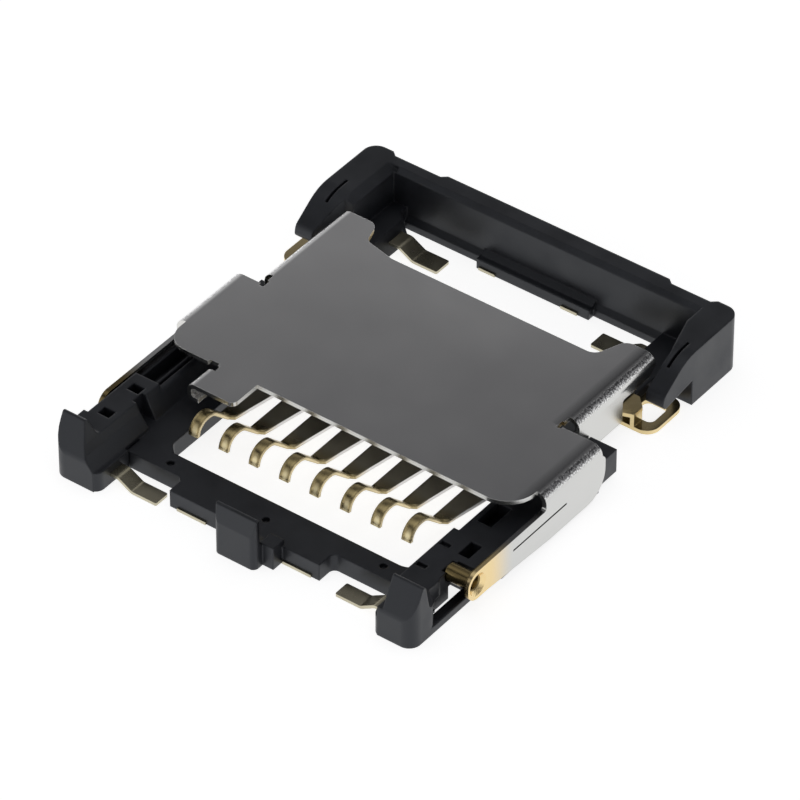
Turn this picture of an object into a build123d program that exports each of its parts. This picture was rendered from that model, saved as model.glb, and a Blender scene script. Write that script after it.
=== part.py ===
from build123d import *
import math
import os

# Micro SD card socket with a hinged sheet-metal cover, in millimetres.
# X runs across the card, Y from the contacts to the far wall, Z up from the board.
# The origin lies at the middle of the footprint, on the board.
# Depths are measured back from the near end, reaches forward from the far wall,
# insets from a side of the card towards its middle and overhangs away from it.

os.makedirs("parts", exist_ok=True)

# Card that the socket takes
card_width = 11.0
card_length = 15.0
card_play = 0.05
card_floor = 1.05
card_gap = 0.03

# Contacts
contact_count = 8
contact_pitch = 1.1
contact_row_inset = 5.01
contact_left_half = 0.32
contact_thickness = 0.12
contact_tip_width = 0.33
contact_neck_width = 0.48
contact_root_width = 0.75
contact_tip_depth = 2.95
contact_tip_top = 0.92
contact_beam_top = 0.7
contact_crest_top = 1.36
contact_crest_near = 0.08
contact_crest_far = 0.72
contact_crest_radius = 0.45
contact_foot_radius = 0.15
contact_shoulder = 1.43
contact_shoulder_slope = 0.1
contact_root = 3.05
contact_slot_gap = 0.08
contact_free_end = 1.0
channel_bottom = 0.4
tail_length = 0.8
tail_gap = 0.1

# Housing, heights
housing_top = 2.0
wall_top = 1.95
bar_top = 0.6
left_body_top = 1.4
stop_top = 1.75
stop_front_top = 1.17

# Housing, far frame
stop_setback = 0.3
wall_thickness = 0.65
wall_bevel = 0.15
wall_foot_top = 0.42
wall_foot_depth = 0.15
wall_foot_edge = 0.25
far_left_overhang = 1.35
far_right_overhang = 1.1
far_corner = 0.45
arm_reach = 3.95
arm_bend_reach = 2.75
arm_bend_radius = 1.5
arm_tip_top = 1.2
arm_tip_slope = 0.1
arm_tip_bottom = 0.7
arm_tip_radius = 0.3
arm_tip_low_radius = 0.2
arm_foot_reach = 2.42
arm_foot_top = 0.93
arm_step_reach = 2.7
arm_rear_gap = 0.08
left_arm_bend_gap = 0.37
left_arm_tip_gap = 0.77
left_arm_flare = 0.05
left_arm_bevel = 0.32
right_arm_bend_gap = 0.5
right_arm_tip_gap = 0.47
right_arm_flare = 1.4
right_arm_round = 0.8
arm_slit_length = 1.05
arm_slit_width = 0.1
arm_slit_bottom = 1.55
left_slit_overhang = 0.84
left_slit_reach = 3.0
right_slit_overhang = 0.7
right_slit_reach = 3.12
recess_depth = 0.15
recess_slope = 0.18
left_recess_inset = 0.45
left_recess_width = 2.05
right_recess_inset = 0.58
right_recess_width = 1.75
left_ledge_inset = 0.67
left_ledge_lean = 0.24
left_ledge_top = 0.7
left_ledge_near_reach = 3.0
left_ledge_far_reach = 1.2
left_ledge_corner = 0.25
right_ledge_inset = 1.2
right_ledge_top = 0.45
step_gap = 0.77
step_top = 0.37
step_crest = 0.5
step_slope = 0.2
step_depth = 0.4

# Housing, carrier and rails
core_front_depth = 6.8
core_length = 3.4
core_side_gap = 0.2
rail_overrun = 1.02
rail_end_bottom = 0.22
rail_side_gap = 0.07
rail_width = 0.7
low_rail_top = 0.45
window_left_gap = 0.3
window_right_inset = 0.46
window_corner = 0.3
window_long_corner = 0.6
right_floor_inset = 0.28
rail_carrier_lap = 0.5
left_rail_top = 1.2
left_rail_rim = 0.1
left_pocket_slope = 0.08
left_pocket_outer = 0.75
left_pocket_bottom = 0.6
left_rib_width = 0.08
left_valley_bottom = 0.85
left_valley_width = 0.05
left_crown_width = 0.16
left_rail_length = 2.5
left_rail_inset = 0.55

# Housing, front bar and stop
bar_inner_depth = 2.22
bar_end_depth = 1.5
bar_front_depth = 0.85
bar_setback_slope = 0.15
bar_corner = 0.2
bar_boss_left_gap = 0.32
bar_boss_right_gap = 0.75
stop_left_offset = -0.5
stop_right_offset = 0.97
stop_thickness = 0.25
stop_lean = 0.13
stop_corner = 0.18
stop_root = 0.1
stop_rib_width = 0.38
stop_rib_setback = 0.13
stop_rib_top = 0.8
mark_radius = 0.12
mark_depth = 0.15
left_mark_inset = 0.49
left_mark_gap = 0.4
right_mark_inset = 0.91
right_mark_gap = 0.3
middle_mark_offset = 0.27
middle_mark_depth = 1.5
post_radius = 0.22
post_inset = 0.06
post_top = 1.2

# Housing, near blocks
near_left_overhang = 0.82
near_right_overhang = 1.08
near_corner = 0.4
foot_corner = 0.3
left_foot_inset = 0.81
right_foot_inset = 0.36
foot_top = 0.68
left_wall_inset = 0.66
right_wall_inset = 0.16
left_shoulder_inset = 0.34
left_shoulder_top = 1.1
left_body_inset = 0.2
right_crest_gap = 0.02
nose_front_top = 0.98
nose_front_radius = 0.3
nose_depth = 0.52
nose_crest = 0.12
nose_fall = 0.3
nose_fall_radius = 0.2
crest_fall = 0.21
block_depth = 1.45
left_body_end_depth = 3.67
right_body_end_depth = 4.03
body_hole_overhang = 0.21
body_hole_length = 0.34
body_hole_width = 0.42
body_hole_bottom = 0.35
body_hole_near_depth = 1.75
body_hole_far_depth = 3.1
groove_near_depth = 2.6
groove_far_depth = 3.05
groove_inset = 0.05
pocket_inset = 0.12
pocket_overhang = 0.38
pocket_near_depth = 4.67
pocket_length = 1.0
pocket_bottom = 0.5
slot_near_depth = 1.75
slot_bend_depth = 2.45
slot_far_depth = 2.95
slot_width = 0.13
slot_root_overhang = 0.15
outer_bar_top = 0.25
trough_bottom = 0.1
trough_rim = 0.09
trough_near_depth = 1.25
trough_corner = 0.15
block_cut_depth = 1.05
block_cut_slope = 0.4
block_cut_round = 0.4
right_tail_overhang = 0.57
right_tail_depth = 1.94
right_tail_slope = 0.12
right_floor_depth = 1.2
cheek_bottom = 0.45
recess_floor = 0.5
recess_overhang = 0.3
recess_width = 0.38
recess_near_depth = 3.2
recess_far_depth = 3.85
near_dent_depth = 2.1
far_dent_depth = 3.22
dent_inset = 0.4
dent_width = 0.35
dent_length = 0.18

# Cover
sheet = 0.15
cover_top = 1.95
bend_radius = 0.35
fold_lap = 0.05
cover_left_overhang = 0.89
cover_right_overhang = 1.45
cover_front_depth = 4.83
cover_left_corner = 0.75
cover_right_corner = 1.0
wide_bend_depth = 5.87
wide_rear_depth = 8.6
wide_wall_overrun = 0.15
wide_wall_bottom = 0.2
wide_wall_corner = 0.85
wide_wall_lip = 0.25
rear_wall_gap = 0.5
rear_wall_bottom = 0.5
rear_wall_corner = 0.1
rear_lug_reach = 4.75
rear_lug_bottom = 1.3
rear_right_gap = 0.12
rear_end_slope = 0.3
rear_end_radius = 0.2
cover_rear_reach = 4.17
lobe_reach = 3.12
lobe_width = 1.2
lobe_step = 0.25
lobe_corner = 0.35
lobe_neck = 0.25
lobe_left_slope = 1.1
right_lobe_top = 0.7
right_lobe_base = 1.1
right_lobe_round = 0.4
notch_length = 0.07
notch_width = 0.22
tab_left_inset = 1.2
tab_width = 1.71
tab_length = 1.11
tab_corner = 0.2
tab_flange_drop = 0.62
tab_flange_curl = 0.32
tab_flange_bend = 0.2
relief_length = 0.24
relief_depth = 0.26
relief_side = 0.1

# Pivots of the cover
pivot_depth = 2.6
pivot_z = 0.9
pivot_boss_radius = 0.28
left_boss_length = 0.65
right_boss_length = 0.9
pivot_boss_chamfer = 0.08
pivot_boss_wall = 0.1
pivot_root_radius = 0.38
pivot_root_length = 0.05
pivot_mouth_radius = 0.38
pivot_neck_radius = 0.22
pivot_mouth_depth = 0.3
pivot_clearance = 0.03
pivot_seat = 0.12
arm_half_height = 0.5
arm_end_reach = 0.45
arm_end_round = 0.44
arm_shoulder_radius = 0.1
arm_low_depth = 6.05
arm_low_radius = 1.0
slit_height = 0.06
slit_near_depth = 4.28
slit_length = 2.58
slit_z = 1.0

# Solder tabs, pads and ground lugs
plate = 0.1
root_depth = 0.5
near_tab_width = 0.56
far_tab_width = 0.66
solder_tab_height = 0.29
solder_tab_foot = 0.9
solder_tab_ramp = 0.5
solder_tab_bend = 0.2
near_left_tab_length = 1.67
near_right_tab_length = 1.74
far_left_tab_length = 1.64
far_right_tab_length = 1.64
near_tab_depth = 0.88
far_tab_reach = 1.7
pad_thickness = 0.1
pad_depth = 0.7
pad_proud = 0.05
front_pad_width = 1.05
front_pad_gap = 0.28
rear_pad_width = 0.6
rear_left_pad_gap = 0.1
rear_right_pad_gap = 0.4
lug_thickness = 0.14
lug_near_strip = 0.42
lug_far_strip = 0.5
lug_side_strip = 0.27
lug_reach = 4.38
lug_length = 1.8
lug_corner = 0.45
lug_hole_corner = 0.2
left_lug_overhang = 1.62
right_lug_overhang = 1.02
lug_root_inset = 0.33
lug_hole_inset = 0.03
bridge_top = 0.6
bridge_reach = 4.5
bridge_length = 0.9
bridge_overhang = 0.42
bridge_cut_length = 0.35
bridge_cut_width = 0.35
bridge_root_inset = 0.6
riser_length = 0.42
lug_seat_top = 0.7
lug_seat_margin = 0.14

# Allowance for cuts that run past a face
margin = 0.1

# Places worked out from the sizes above
socket_length = card_length + card_play + stop_setback + wall_thickness
far_y = socket_length / 2
near_y = -far_y
wall_inner_y = far_y - wall_thickness
stop_inner_y = near_y + stop_setback
stop_front_y = stop_inner_y - stop_thickness
guide_half = card_width / 2 + card_gap
card_centre_x = (left_lug_overhang - cover_right_overhang) / 2
left_guide_x = card_centre_x - guide_half
right_guide_x = card_centre_x + guide_half
far_left_x = left_guide_x - far_left_overhang
far_right_x = right_guide_x + far_right_overhang
arm_tip_y = far_y - arm_reach
arm_bend_y = far_y - arm_bend_reach
arm_foot_y = far_y - arm_foot_reach
arm_step_y = far_y - arm_step_reach
near_left_x = left_guide_x - near_left_overhang
near_right_x = right_guide_x + near_right_overhang
left_foot_x = left_guide_x + left_foot_inset
right_foot_x = right_guide_x - right_foot_inset
block_end_y = near_y + block_depth
bar_inner_y = near_y + bar_inner_depth
bar_end_y = near_y + bar_end_depth
bar_front_y = near_y + bar_front_depth
left_body_end_y = near_y + left_body_end_depth
right_body_end_y = near_y + right_body_end_depth
core_front_y = near_y + core_front_depth
core_rear_y = core_front_y + core_length
left_core_x = left_guide_x + core_side_gap
right_core_x = right_guide_x - core_side_gap
wide_left_x = left_guide_x - cover_left_overhang
wide_right_x = right_guide_x + cover_right_overhang
cover_left_x = left_guide_x - sheet
cover_right_x = right_guide_x + rear_right_gap + sheet
cover_front_y = near_y + cover_front_depth
wide_bend_y = near_y + wide_bend_depth
wide_rear_y = near_y + wide_rear_depth
rear_wall_y = wide_rear_y + rear_wall_gap
lobe_end_y = far_y - lobe_reach
cover_rear_y = far_y - cover_rear_reach
rail_left_x = wide_left_x + sheet + rail_side_gap
rail_right_x = wide_right_x - sheet - rail_side_gap
rail_end_y = wide_rear_y + rail_overrun
sheet_bottom = cover_top - sheet
bend_z = cover_top - bend_radius
bend_inner = bend_radius - sheet
pivot_y = near_y + pivot_depth
left_boss_x = wide_left_x + sheet + left_boss_length
right_boss_x = wide_right_x - sheet - right_boss_length
cheek_x = right_boss_x + pivot_seat
contact_centre_x = right_guide_x - contact_row_inset
contact_row_half = (contact_count - 1) / 2 * contact_pitch
window_left_x = contact_centre_x - contact_row_half - contact_left_half - window_left_gap
window_right_x = right_guide_x - window_right_inset
contact_tip_y = near_y + contact_tip_depth
contact_seat_y = core_front_y + contact_free_end
tail_y = core_rear_y + tail_gap + contact_thickness / 2
left_ledge_x = left_guide_x + left_ledge_inset
right_ledge_x = right_guide_x - right_ledge_inset
near_left_tip_x = left_foot_x + near_left_tab_length
near_right_tip_x = right_foot_x - near_right_tab_length
far_left_tip_x = left_ledge_x + left_ledge_lean + far_left_tab_length
far_right_tip_x = right_ledge_x - far_right_tab_length
bar_boss_left_x = near_left_tip_x + bar_boss_left_gap
bar_boss_right_x = near_right_tip_x - bar_boss_right_gap
step_left_x = far_left_tip_x + step_gap
step_right_x = far_right_tip_x - step_gap
lug_near_y = far_y - lug_reach
lug_far_y = lug_near_y + lug_length
bridge_near_y = far_y - bridge_reach
bridge_far_y = bridge_near_y + bridge_length


# Closed outline; a third value at a point is the radius of its corner
def outline(points):
    places = [(point[0], point[1]) for point in points]
    radii = [point[2] if len(point) > 2 else 0 for point in points]
    with BuildLine() as edge:
        FilletPolyline(*places, radius=radii, close=True)
    make_face(edge.edges())


# Raises an outline seen from above between two heights
def raise_plan(points, bottom, top, mode=Mode.ADD):
    with BuildSketch(Plane.XY.offset(bottom)) as plan:
        outline(points)
    extrude(plan.sketch, amount=top - bottom, mode=mode)


# Raises a rectangle seen from above between two heights
def raise_box(left, right, near, far, bottom, top, mode=Mode.ADD):
    raise_plan([(left, near), (right, near), (right, far), (left, far)], bottom, top, mode)


# Extrudes a side view, given as (y, z), between two places across the socket
def draw_side(points, left, right, mode=Mode.ADD):
    with BuildSketch(Plane.YZ.offset(left)) as view:
        outline(points)
    extrude(view.sketch, amount=right - left, mode=mode)


# Extrudes a front view, given as (x, z), between two places along the socket
def draw_front(points, near, far, mode=Mode.ADD):
    with BuildSketch(Plane.XZ.offset(-far)) as view:
        outline(points)
    extrude(view.sketch, amount=far - near, mode=mode)


# Turns a profile, given as (x, radius), round the cover's pivot line
def turn_at_pivot(points, mode=Mode.ADD):
    with BuildSketch(Plane.XZ.offset(-pivot_y)) as profile:
        outline([(x, pivot_z + radius) for x, radius in points])
    line = Axis((0, pivot_y, pivot_z), (1, 0, 0))
    revolve(profile.sketch, axis=line, mode=mode)


# Contact spring: a tapered beam, an arched hook that meets the card, and a solder tail
def make_contact(number, centre_x):
    half = contact_thickness / 2
    beam_z = contact_beam_top - half
    crest_z = contact_crest_top - half
    route = [
        (tail_y + tail_length, half),
        (tail_y, half),
        (tail_y, beam_z),
        (contact_tip_y + contact_shoulder, beam_z),
        (contact_tip_y + contact_crest_far, crest_z),
        (contact_tip_y + contact_crest_near, crest_z),
        (contact_tip_y, contact_tip_top - half),
    ]
    radii = [
        contact_thickness,
        contact_thickness,
        contact_foot_radius,
        contact_crest_radius,
        contact_crest_radius,
    ]
    left = centre_x - contact_left_half
    with BuildPart() as contact:
        with BuildSketch(Plane.YZ.offset(left)):
            with BuildLine():
                FilletPolyline(*route, radius=radii)
            trace(line_width=contact_thickness)
        extrude(amount=contact_root_width)
        # The right edge steps in at the hook's shoulder and tapers back to the root
        shoulder_y = contact_tip_y + contact_shoulder
        waste = [
            (left + contact_tip_width, contact_tip_y - margin),
            (left + contact_tip_width, shoulder_y),
            (left + contact_neck_width, shoulder_y + contact_shoulder_slope),
            (left + contact_root_width, contact_tip_y + contact_root),
            (left + contact_root_width + margin, contact_tip_y + contact_root),
            (left + contact_root_width + margin, contact_tip_y - margin),
        ]
        raise_plan(waste, 0, housing_top, Mode.SUBTRACT)
    contact.part.label = f"contact_{number}"
    return contact


contact_places = []
for index in range(contact_count):
    contact_places.append(contact_centre_x - contact_row_half + index * contact_pitch)
contacts = [make_contact(index + 1, place) for index, place in enumerate(contact_places)]


# Corner solder tab: a foot on the board, a ramp, and a root held in the moulding
def make_tab(name, face_x, tip_x, centre_y, width):
    inward = math.copysign(1, tip_x - face_x)
    foot_x = tip_x - inward * solder_tab_foot
    route = [
        (face_x - inward * root_depth, solder_tab_height + plate / 2),
        (foot_x - inward * solder_tab_ramp, solder_tab_height + plate / 2),
        (foot_x, plate / 2),
        (tip_x, plate / 2),
    ]
    with BuildPart() as tab:
        with BuildSketch(Plane.XZ.offset(-centre_y - width / 2)):
            with BuildLine():
                FilletPolyline(*route, radius=solder_tab_bend)
            trace(line_width=plate)
        extrude(amount=width)
        upright = tab.edges().filter_by(Axis.Z).group_by(Axis.X)
        fillet(upright[-1] if inward > 0 else upright[0], plate / 2)
    tab.part.label = name
    return tab


near_tab_y = near_y + near_tab_depth
far_tab_y = far_y - far_tab_reach
far_left_face_x = left_ledge_x + left_ledge_lean
near_left_tab = make_tab(
    "near_left_tab", left_foot_x, near_left_tip_x, near_tab_y, near_tab_width
)
near_right_tab = make_tab(
    "near_right_tab", right_foot_x, near_right_tip_x, near_tab_y, near_tab_width
)
far_left_tab = make_tab(
    "far_left_tab", far_left_face_x, far_left_tip_x, far_tab_y, far_tab_width
)
far_right_tab = make_tab(
    "far_right_tab", right_ledge_x, far_right_tip_x, far_tab_y, far_tab_width
)


# Flat pad let into the underside, one edge just proud of the moulding
def make_pad(name, left, width, edge_y):
    with BuildPart() as pad:
        raise_box(left, left + width, edge_y, edge_y + pad_depth, 0, pad_thickness)
    pad.part.label = name
    return pad


front_edge_y = bar_front_y - pad_proud
rear_edge_y = wall_inner_y - step_depth - pad_proud
front_left_x = bar_boss_left_x + front_pad_gap
front_right_x = bar_boss_right_x - front_pad_gap - front_pad_width
rear_left_x = step_left_x + rear_left_pad_gap
rear_right_x = step_right_x - rear_right_pad_gap - rear_pad_width
front_left_pad = make_pad("front_left_pad", front_left_x, front_pad_width, front_edge_y)
front_right_pad = make_pad("front_right_pad", front_right_x, front_pad_width, front_edge_y)
rear_left_pad = make_pad("rear_left_pad", rear_left_x, rear_pad_width, rear_edge_y)
rear_right_pad = make_pad("rear_right_pad", rear_right_x, rear_pad_width, rear_edge_y)


# Ground lug: a ring on the board, a riser, and a bridge held in the rail under the cover
def make_lug(name, side, guide_x, overhang):
    ring_outer = guide_x + side * overhang
    ring_root = guide_x - side * lug_root_inset
    hole_inner = guide_x - side * lug_hole_inset
    hole_outer = ring_outer - side * lug_side_strip
    bridge_outer = guide_x + side * bridge_overhang
    bridge_root = guide_x - side * bridge_root_inset
    riser_inner = bridge_outer - side * lug_thickness
    cut_inner = bridge_outer - side * bridge_cut_width
    with BuildPart() as lug:
        ring = [
            (ring_root, lug_near_y),
            (ring_outer, lug_near_y, lug_corner),
            (ring_outer, lug_far_y, lug_corner),
            (ring_root, lug_far_y),
        ]
        raise_plan(ring, 0, lug_thickness)
        hole = [
            (hole_inner, lug_near_y + lug_near_strip, lug_hole_corner),
            (hole_outer, lug_near_y + lug_near_strip, lug_hole_corner),
            (hole_outer, lug_far_y - lug_far_strip, lug_hole_corner),
            (hole_inner, lug_far_y - lug_far_strip, lug_hole_corner),
        ]
        raise_plan(hole, 0, lug_thickness, Mode.SUBTRACT)
        left, right = sorted((riser_inner, bridge_outer))
        raise_box(left, right, lug_near_y, lug_near_y + riser_length, 0, bridge_top)
        bridge = [
            (bridge_root, bridge_near_y),
            (cut_inner, bridge_near_y),
            (bridge_outer, lug_near_y),
            (bridge_outer, bridge_far_y - bridge_cut_length),
            (cut_inner, bridge_far_y),
            (bridge_root, bridge_far_y),
        ]
        raise_plan(bridge, bridge_top - lug_thickness, bridge_top)
    lug.part.label = name
    return lug


left_ground_lug = make_lug("left_ground_lug", -1, left_guide_x, left_lug_overhang)
right_ground_lug = make_lug("right_ground_lug", 1, right_guide_x, right_lug_overhang)

inserts = contacts + [near_left_tab, near_right_tab, far_left_tab, far_right_tab]
inserts += [front_left_pad, front_right_pad, rear_left_pad, rear_right_pad]
inserts += [left_ground_lug, right_ground_lug]

# Housing: one moulding from the near blocks to the far arms
with BuildPart() as housing:
    # Left foot ledge inside the arm, its face leaning out to the board
    ledge_near_y = far_y - left_ledge_near_reach
    ledge_far_y = far_y - left_ledge_far_reach
    ledge_outer_x = left_guide_x - arm_rear_gap - margin
    left_ledge = [
        (ledge_outer_x, 0),
        (ledge_outer_x, left_ledge_top),
        (left_ledge_x, left_ledge_top),
        (left_ledge_x + left_ledge_lean, 0),
    ]
    draw_front(left_ledge, ledge_near_y, wall_inner_y + margin)
    ledge_corner = [
        (left_ledge_x + left_ledge_lean, ledge_far_y),
        (left_ledge_x, ledge_far_y),
        (left_ledge_x - left_ledge_corner, ledge_far_y + left_ledge_corner),
        (left_ledge_x - left_ledge_corner, wall_inner_y + margin),
        (left_ledge_x + left_ledge_lean, wall_inner_y + margin),
    ]
    raise_plan(ledge_corner, 0, left_ledge_top, Mode.SUBTRACT)
    # Right foot ledge
    ledge_outer_x = right_guide_x + arm_rear_gap + margin
    raise_box(
        right_ledge_x, ledge_outer_x, arm_foot_y, wall_inner_y + margin, 0, right_ledge_top
    )
    # Far wall, bevelled along its inner top edge and stepping out to its foot
    wall_side = [
        (far_y, 0),
        (far_y, wall_top),
        (wall_inner_y + wall_bevel, wall_top),
        (wall_inner_y, wall_top - wall_bevel),
        (wall_inner_y, wall_foot_top),
        (wall_inner_y - wall_foot_depth, wall_foot_edge),
        (wall_inner_y - wall_foot_depth, 0),
    ]
    draw_side(wall_side, far_left_x, far_right_x)
    # Arms beside the cover's far corners, each open under its tip
    arm_side = [
        (far_y, 0),
        (far_y, wall_top),
        (arm_bend_y, wall_top, arm_bend_radius),
        (arm_tip_y + arm_tip_slope, arm_tip_top, arm_tip_radius),
        (arm_tip_y, arm_tip_bottom, arm_tip_low_radius),
        (arm_foot_y, arm_foot_top),
        (arm_foot_y, 0),
    ]
    left_rear_x = left_guide_x - arm_rear_gap
    right_rear_x = right_guide_x + arm_rear_gap
    draw_side(arm_side, far_left_x, left_rear_x)
    draw_side(arm_side, right_rear_x, far_right_x)
    # Room for the cover's lobes in front of the arms' inner steps
    left_room = [
        (left_rear_x + margin, arm_step_y + left_arm_flare),
        (left_rear_x, arm_step_y + left_arm_flare),
        (left_guide_x - left_arm_bend_gap, arm_step_y),
        (left_guide_x - left_arm_tip_gap, arm_tip_y - margin),
        (left_rear_x + margin, arm_tip_y - margin),
    ]
    raise_plan(left_room, left_ledge_top, housing_top, Mode.SUBTRACT)
    right_room = [
        (right_rear_x - margin, arm_step_y + right_arm_flare),
        (right_rear_x, arm_step_y + right_arm_flare),
        (right_guide_x + right_arm_bend_gap, arm_step_y, right_arm_round),
        (right_guide_x + right_arm_tip_gap, arm_tip_y - margin),
        (right_rear_x - margin, arm_tip_y - margin),
    ]
    raise_plan(right_room, right_ledge_top, housing_top, Mode.SUBTRACT)
    # Broad bevel along the left arm's inner top edge
    bevel_x = left_rear_x - left_arm_bevel
    bevel = [
        (left_rear_x + margin, wall_top - wall_bevel),
        (left_rear_x, wall_top - wall_bevel),
        (bevel_x, wall_top),
        (bevel_x, housing_top),
        (left_rear_x + margin, housing_top),
    ]
    draw_front(bevel, arm_step_y - margin, wall_inner_y + wall_bevel, Mode.SUBTRACT)
    fillet(housing.edges().filter_by(Axis.Z).group_by(Axis.Y)[-1], far_corner)
    # Slits along the arms' tops
    left_slit_x = left_guide_x - left_slit_overhang
    right_slit_x = right_guide_x + right_slit_overhang
    slits = [(left_slit_x, far_y - left_slit_reach), (right_slit_x, far_y - right_slit_reach)]
    for slit_x, slit_y in slits:
        slit_left = slit_x - arm_slit_width / 2
        slit_right = slit_x + arm_slit_width / 2
        slit_far = slit_y + arm_slit_length
        raise_box(
            slit_left, slit_right, slit_y, slit_far, arm_slit_bottom, housing_top, Mode.SUBTRACT
        )
    # Two shallow recesses in the far face
    left_recess_x = left_guide_x + left_recess_inset
    right_recess_x = right_guide_x - right_recess_inset
    recesses = [(left_recess_x, left_recess_width), (right_recess_x, right_recess_width)]
    for recess_x, width in recesses:
        recess = [
            (recess_x - width / 2, far_y),
            (recess_x + width / 2, far_y),
            (recess_x + width / 2 - recess_slope, far_y - recess_depth),
            (recess_x - width / 2 + recess_slope, far_y - recess_depth),
        ]
        raise_plan(recess, 0, housing_top, Mode.SUBTRACT)
    # Step at the middle of the far wall
    step_side = [
        (wall_inner_y + margin, 0),
        (wall_inner_y + margin, step_crest),
        (wall_inner_y, step_crest),
        (wall_inner_y - step_slope, step_top),
        (wall_inner_y - step_depth, step_top),
        (wall_inner_y - step_depth, 0),
    ]
    draw_side(step_side, step_left_x, step_right_x)
    # Low rails from the carrier to the ledges, raised where they hold the ground lugs
    for side, core_x, end_y in ((-1, left_core_x, ledge_near_y), (1, right_core_x, arm_foot_y)):
        left, right = sorted((core_x, core_x - side * rail_width))
        raise_box(left, right, core_rear_y - margin, end_y + margin, 0, low_rail_top)
        seat_near = bridge_near_y - lug_seat_margin
        raise_box(left, right, seat_near, bridge_far_y + lug_seat_margin, 0, lug_seat_top)
    # Carrier that holds the contacts under the card
    raise_box(left_core_x, right_core_x, core_front_y, core_rear_y, 0, card_floor)
    # Left floor beside the window, its near corner rounded off
    left_floor = [
        (rail_left_x, bar_inner_y - margin),
        (window_left_x + window_corner, bar_inner_y - margin),
        (window_left_x + window_corner, bar_inner_y),
        (window_left_x, bar_inner_y + window_corner, window_corner),
        (window_left_x, core_front_y + margin),
        (rail_left_x, core_front_y + margin),
    ]
    raise_plan(left_floor, 0, bar_top)
    # Left rail: an outer rim, a sloping pocket, a thin rib, a valley and a crowned inner edge
    rail_middle_y = left_body_end_y + left_rail_length
    crown_x = left_guide_x + left_valley_width * 2
    left_rail = [
        (rail_left_x, 0),
        (rail_left_x, left_rail_top),
        (rail_left_x + left_rail_rim, left_rail_top),
        (rail_left_x + left_rail_rim + left_pocket_slope, left_pocket_outer),
        (left_guide_x - left_rib_width, left_pocket_bottom),
        (left_guide_x - left_rib_width, left_rail_top),
        (left_guide_x, left_rail_top),
        (left_guide_x + left_valley_width, left_valley_bottom),
        (crown_x, left_rail_top),
        (crown_x + left_crown_width, left_rail_top, left_crown_width),
        (left_guide_x + left_rail_inset, bar_top),
        (left_guide_x + left_rail_inset, 0),
    ]
    draw_front(left_rail, left_body_end_y - margin, rail_middle_y)
    carrier_lap_y = core_front_y + rail_carrier_lap
    raise_box(
        rail_left_x,
        left_guide_x + left_rail_inset,
        rail_middle_y - margin,
        carrier_lap_y,
        0,
        card_floor,
    )
    raise_box(
        rail_left_x, cover_left_x - card_gap, carrier_lap_y - margin, rail_end_y, 0, card_floor
    )
    # Right rail: the card's floor beside the window, and its wall under the cover
    right_rail = [
        (window_right_x, bar_inner_y - window_corner),
        (right_guide_x, bar_inner_y - window_corner),
        (right_guide_x, right_body_end_y),
        (rail_right_x, right_body_end_y),
        (rail_right_x, rail_end_y),
        (cover_right_x + card_gap, rail_end_y),
        (cover_right_x + card_gap, carrier_lap_y),
        (right_guide_x - right_floor_inset, carrier_lap_y),
        (right_guide_x - right_floor_inset, right_body_end_y),
        (window_right_x, right_body_end_y),
    ]
    raise_plan(right_rail, 0, card_floor)
    wide_wall_y = wide_rear_y + wide_wall_overrun
    raise_box(
        cover_right_x + card_gap,
        rail_right_x,
        wide_wall_y,
        rail_end_y,
        0,
        rail_end_bottom,
        Mode.SUBTRACT,
    )
    # Front bar, set back at its ends
    front_bar = [
        (left_foot_x - margin, bar_end_y),
        (bar_boss_left_x - bar_setback_slope, bar_end_y),
        (bar_boss_left_x, bar_end_y - bar_setback_slope),
        (bar_boss_left_x, bar_front_y),
        (bar_boss_right_x, bar_front_y),
        (bar_boss_right_x, bar_end_y, bar_corner),
        (right_foot_x + margin, bar_end_y),
        (right_foot_x + margin, bar_inner_y + window_long_corner + margin),
        (window_right_x, bar_inner_y + window_long_corner + margin),
        (window_right_x, bar_inner_y, window_long_corner),
        (left_foot_x - margin, bar_inner_y),
    ]
    raise_plan(front_bar, 0, bar_top)
    # Card stop and the rib beside it
    stop_left_x = card_centre_x + stop_left_offset
    stop_right_x = card_centre_x + stop_right_offset
    stop_plan = [
        (stop_left_x, stop_front_y, stop_corner),
        (stop_right_x, stop_front_y, stop_corner),
        (stop_right_x, stop_inner_y),
        (stop_left_x, stop_inner_y),
    ]
    raise_plan(stop_plan, 0, stop_top)
    stop_root_side = [
        (stop_inner_y - stop_root, 0),
        (stop_inner_y - stop_root, stop_rib_top),
        (stop_inner_y, stop_rib_top),
        (bar_front_y, bar_top),
        (bar_front_y + stop_root, bar_top),
        (bar_front_y + stop_root, 0),
    ]
    draw_side(stop_root_side, stop_left_x + stop_corner, stop_right_x)
    stop_cut = [
        (stop_front_y - margin, stop_front_top),
        (stop_front_y, stop_front_top),
        (stop_front_y + stop_lean, stop_top),
        (stop_front_y + stop_lean, stop_top + margin),
        (stop_front_y - margin, stop_top + margin),
    ]
    draw_side(stop_cut, stop_left_x - margin, stop_right_x + margin, Mode.SUBTRACT)
    rib_near_y = stop_inner_y + stop_rib_setback
    rib_right_x = stop_right_x + stop_rib_width
    rib_far_y = bar_front_y + stop_root
    raise_box(stop_right_x - margin, rib_right_x, rib_near_y, rib_far_y, 0, stop_rib_top)
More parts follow.
